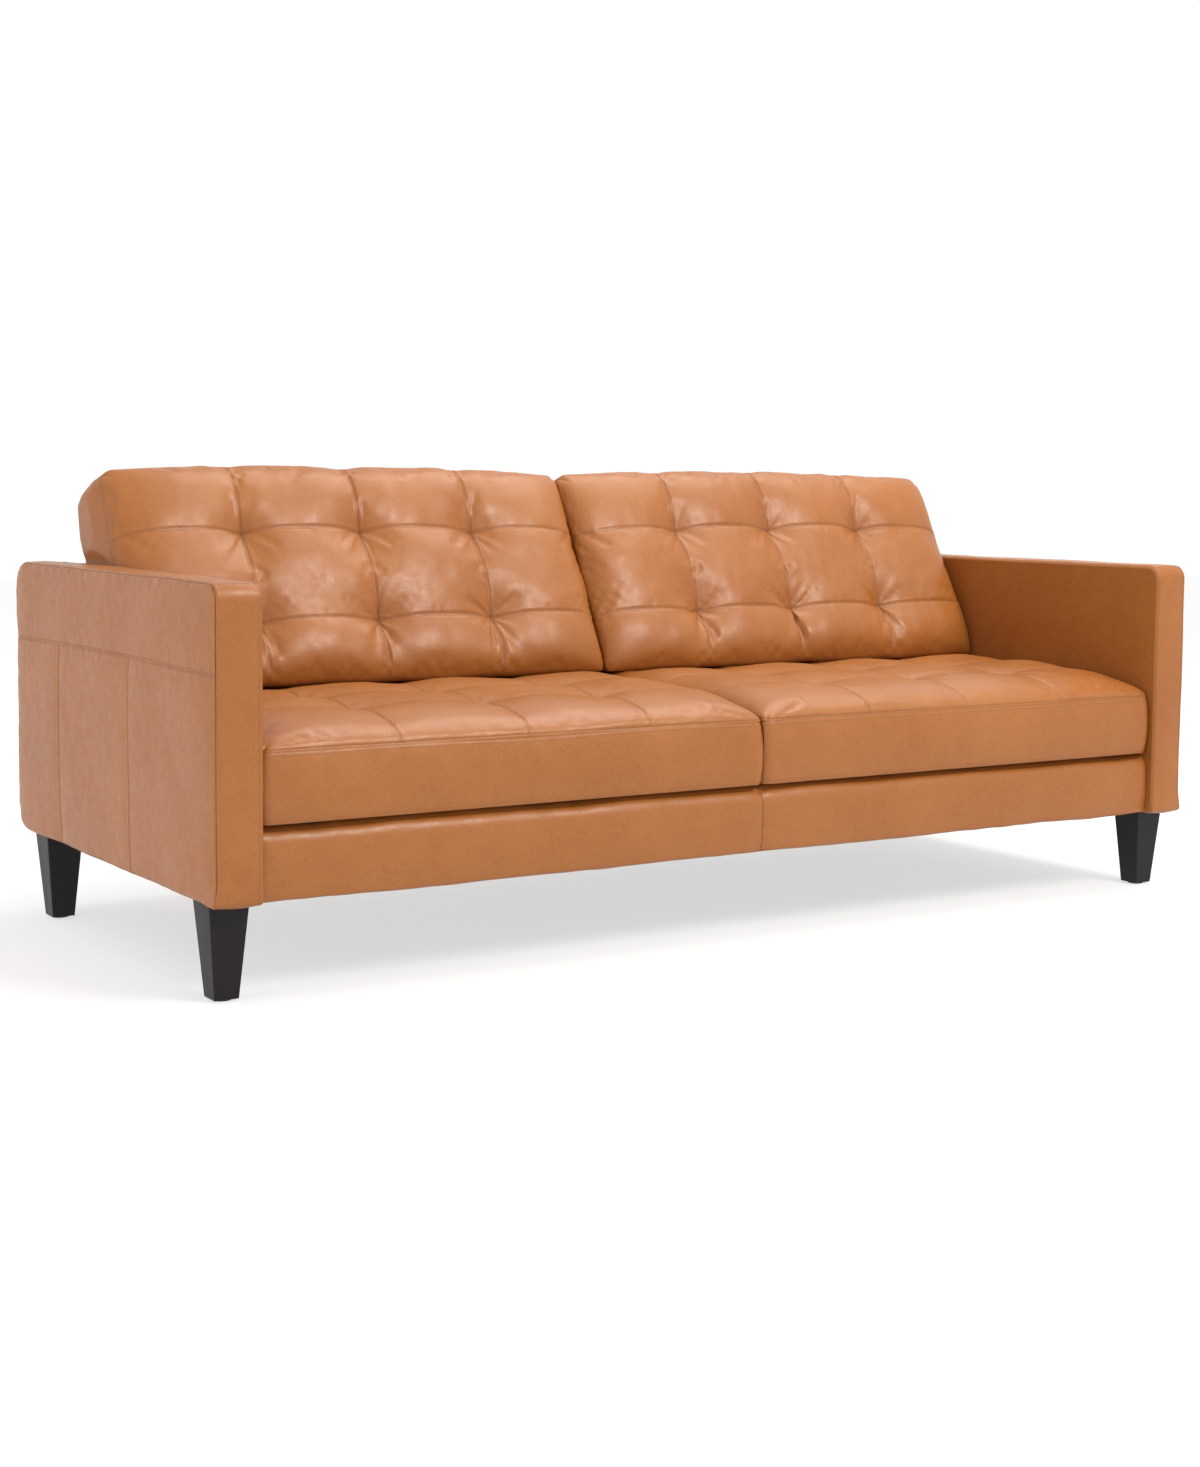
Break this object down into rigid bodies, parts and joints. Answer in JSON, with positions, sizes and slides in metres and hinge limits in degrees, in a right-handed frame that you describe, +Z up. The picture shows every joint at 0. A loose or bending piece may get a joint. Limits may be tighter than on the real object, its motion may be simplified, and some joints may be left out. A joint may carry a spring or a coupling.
{
  "type": "three-seat sofa",
  "caption": "Leather sofa with slim track arms, loose tufted seat and back cushions, a low back and tapered wooden legs.",
  "frame": {"origin": "centre of the footprint, on the floor under the leg glides", "axes": "+X across the sofa to a viewer's right, +Y from the front to the back, +Z up; the seat faces -Y"},
  "size_m": [2.184, 0.98, 0.8719],
  "materials": {
    "tan_leather": "smooth semi-gloss tan leather",
    "leg_wood": "satin espresso stain",
    "beech": "planed, unfinished",
    "plywood": "unfinished",
    "foam": "open-cell foam",
    "black_cloth": "matt woven cloth",
    "zip_tape": "matt brown tape",
    "steel": "zinc plated",
    "glide_plastic": "matt nylon"
  },
  "bodies": {
    "frame": {"front_rail": "beech", "spring_rail": "beech", "rear_rail": "beech", "left_side_rail": "beech", "right_side_rail": "beech", "centre_stretcher": "beech", "corner_blocks": "beech", "left_seat_springs": "steel", "right_seat_springs": "steel", "spring_clips": "steel", "deck_pad": "black_cloth", "dust_cover": "black_cloth", "front_rail_padding": "foam", "front_rail_cover": "tan_leather", "left_arm_front_post": "beech", "left_arm_rear_post": "beech", "left_arm_top_rail": "beech", "left_arm_base_rail": "beech", "left_arm_inner_panel": "plywood", "left_arm_outer_panel": "plywood", "left_arm_padding": "foam", "left_arm_cover": "tan_leather", "right_arm_front_post": "beech", "right_arm_rear_post": "beech", "right_arm_top_rail": "beech", "right_arm_base_rail": "beech", "right_arm_inner_panel": "plywood", "right_arm_outer_panel": "plywood", "right_arm_padding": "foam", "right_arm_cover": "tan_leather", "arm_bolts": "steel", "left_back_post": "plywood", "centre_back_post": "plywood", "right_back_post": "plywood", "back_top_rail": "beech", "back_panel": "plywood", "back_webbing": "black_cloth", "back_padding": "foam", "back_cover": "tan_leather", "front_left_leg": "leg_wood", "front_right_leg": "leg_wood", "rear_left_leg": "leg_wood", "rear_right_leg": "leg_wood", "leg_bolts": "steel", "tee_nuts": "steel", "leg_glides": "glide_plastic"},
    "left_seat_cushion": {"left_seat_cover": "tan_leather", "left_seat_foam": "foam", "left_seat_zip": "zip_tape"},
    "left_back_cushion": {"left_back_cushion_cover": "tan_leather", "left_back_cushion_filling": "foam", "left_back_cushion_zip": "zip_tape"},
    "right_seat_cushion": {"right_seat_cover": "tan_leather", "right_seat_foam": "foam", "right_seat_zip": "zip_tape"},
    "right_back_cushion": {"right_back_cushion_cover": "tan_leather", "right_back_cushion_filling": "foam", "right_back_cushion_zip": "zip_tape"}
  },
  "joints": [
    {"name": "left_seat_cushion_slide", "type": "slide", "parent": "frame", "child": "left_seat_cushion", "axis": [0, -1, 0], "range_m": [0, 0.75]},
    {"name": "left_back_cushion_lift", "type": "slide", "parent": "frame", "child": "left_back_cushion", "axis": [0, 0, 1], "range_m": [0, 0.46]},
    {"name": "right_seat_cushion_slide", "type": "slide", "parent": "frame", "child": "right_seat_cushion", "axis": [0, -1, 0], "range_m": [0, 0.75]},
    {"name": "right_back_cushion_lift", "type": "slide", "parent": "frame", "child": "right_back_cushion", "axis": [0, 0, 1], "range_m": [0, 0.46]}
  ]
}
